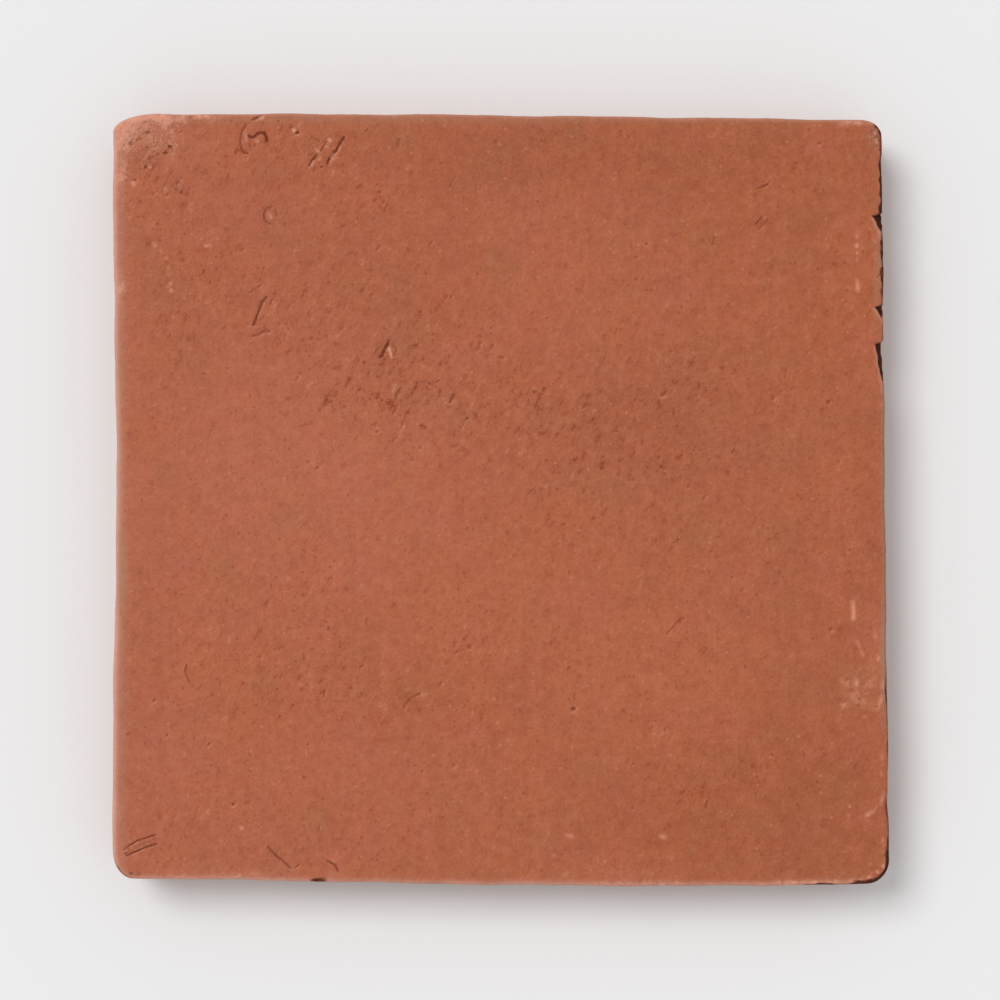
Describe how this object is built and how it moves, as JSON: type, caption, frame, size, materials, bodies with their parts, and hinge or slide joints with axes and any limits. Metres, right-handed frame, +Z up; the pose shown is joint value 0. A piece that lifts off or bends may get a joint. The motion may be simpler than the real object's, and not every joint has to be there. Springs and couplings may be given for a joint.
{
  "type": "terracotta floor tile",
  "caption": "Hand-made square terracotta floor tile with an uneven outline, rolled arrises, worn corners and small flakes off one edge.",
  "frame": {"origin": "middle of the bed, at the centre of the tile's box", "axes": "+Z up out of the wearing face, +X along the front edge to the right, +Y from the front edge to the back edge"},
  "size_m": [0.2014, 0.2, 0.0203],
  "materials": {
    "fired_clay": "unglazed, matt, fine sandy grain"
  },
  "bodies": {
    "root": {"tile": "fired_clay"}
  },
  "joints": []
}
